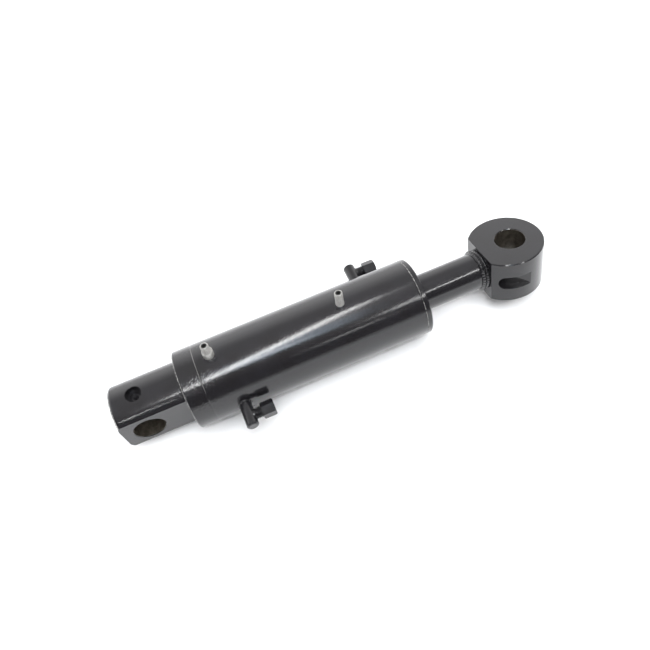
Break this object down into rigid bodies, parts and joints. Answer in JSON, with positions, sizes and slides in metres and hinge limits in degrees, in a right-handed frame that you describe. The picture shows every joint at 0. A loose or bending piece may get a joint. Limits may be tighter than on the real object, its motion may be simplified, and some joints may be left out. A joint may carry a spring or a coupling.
{
  "type": "hydraulic cylinder",
  "caption": "Double-acting hydraulic cylinder with a flatted base lug, a turned rod eye with a grease slot, two capped side ports and two studs.",
  "frame": {"origin": "centre of the base lug's pin bore", "axes": "+X along the cylinder towards the rod eye; +Y along the base pin, away from the base port; +Z towards the side with the two studs and the lug's grease recess"},
  "size_m": [0.4592, 0.13, 0.0977],
  "materials": {
    "black_paint": "gloss black enamel with light orange peel",
    "zinc": "dull zinc plating",
    "bare_steel": "turned, oiled",
    "bronze": "turned bronze",
    "seal_polymer": "blue polyurethane",
    "nylon": "natural nylon",
    "nitrile": "black nitrile"
  },
  "bodies": {
    "barrel": {"barrel_tube": "black_paint", "base_end_cap": "black_paint", "base_ring_weld": "black_paint", "gland_head": "black_paint", "gland_oring": "nitrile", "gland_backup_ring": "nylon", "rod_guide_bush": "bronze", "rod_seal": "seal_polymer", "rod_wiper": "seal_polymer", "base_port_body": "black_paint", "base_port_weld": "black_paint", "base_port_stub": "black_paint", "base_port_cap": "black_paint", "base_port_cap_seal": "nylon", "rod_port_body": "black_paint", "rod_port_weld": "black_paint", "rod_port_stub": "black_paint", "rod_port_cap": "black_paint", "rod_port_cap_seal": "nylon", "clamp_studs": "zinc", "stud_welds": "black_paint", "base_grease_nipple": "black_paint"},
    "piston_seals": {"piston_seal": "seal_polymer", "piston_wear_rings": "nylon"},
    "rod": {"piston": "bare_steel", "piston_oring": "nitrile", "piston_nut": "bare_steel", "piston_rod": "black_paint", "rod_eye_weld": "black_paint", "rod_eye": "black_paint", "eye_grease_nipple": "black_paint"}
  },
  "joints": [
    {"name": "rod_slide", "type": "slide", "parent": "barrel", "child": "piston_seals", "axis": [1, 0, 0], "range_m": [0, 0.12]},
    {"name": "rod_spin", "type": "hinge", "parent": "piston_seals", "child": "rod", "pos_m": [0.401, 0, 0], "axis": [1, 0, 0], "continuous": true}
  ]
}
